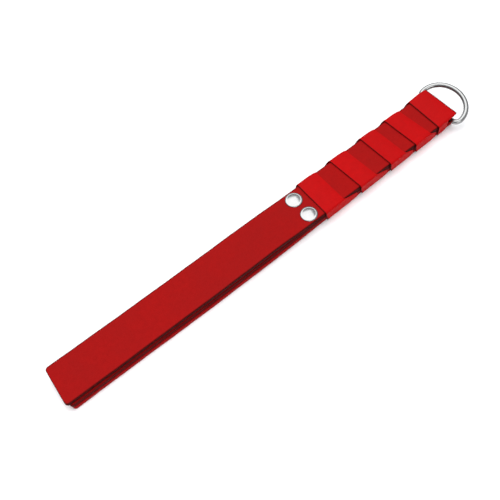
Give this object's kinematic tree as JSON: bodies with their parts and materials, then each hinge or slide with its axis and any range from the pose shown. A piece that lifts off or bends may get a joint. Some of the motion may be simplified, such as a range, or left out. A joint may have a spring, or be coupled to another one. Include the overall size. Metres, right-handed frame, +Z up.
{
  "type": "layered strap paddle",
  "caption": "Flat layered leather strap with a tape-wrapped grip, capped rivets where the grip starts and a D-ring for hanging at the end.",
  "frame": {"origin": "middle of the footprint, on the surface the part rests on", "axes": "+X along the strap from the free tip to the ring, +Y across the strap, +Z up, away from the resting surface"},
  "size_m": [0.3546, 0.0418, 0.0147],
  "materials": {
    "leather": "satin, fine grain",
    "wrap": "satin, smooth, thinner leather tape",
    "cap": "polished",
    "post": "satin",
    "ring": "polished"
  },
  "bodies": {
    "grip": {"top_strap_grip": "leather", "middle_strap": "leather", "bottom_strap_grip": "leather", "hanger_strap": "leather", "grip_tape": "wrap", "rivet_caps_front": "cap", "rivet_posts": "post", "rivet_sockets": "post", "rivet_caps_back": "cap"},
    "top_leaf": {"top_strap_leaf": "leather"},
    "bottom_leaf": {"bottom_strap_leaf": "leather"},
    "ring": {"d_ring": "ring"}
  },
  "joints": [
    {"name": "top_leaf_flex", "type": "hinge", "parent": "grip", "child": "top_leaf", "pos_m": [0.01396, 0, 0.0101], "axis": [0, 1, 0], "range_deg": [0, 15], "stiffness_Nm_per_rad": 0.2},
    {"name": "bottom_leaf_flex", "type": "hinge", "parent": "grip", "child": "bottom_leaf", "pos_m": [0.01396, 0, 0.0008], "axis": [0, 1, 0], "range_deg": [-15, 0], "stiffness_Nm_per_rad": 0.2},
    {"name": "ring_swing", "type": "hinge", "parent": "grip", "child": "ring", "pos_m": [0.15646, 0, 0.0067], "axis": [0, 1, 0], "range_deg": [-97, 133]}
  ]
}
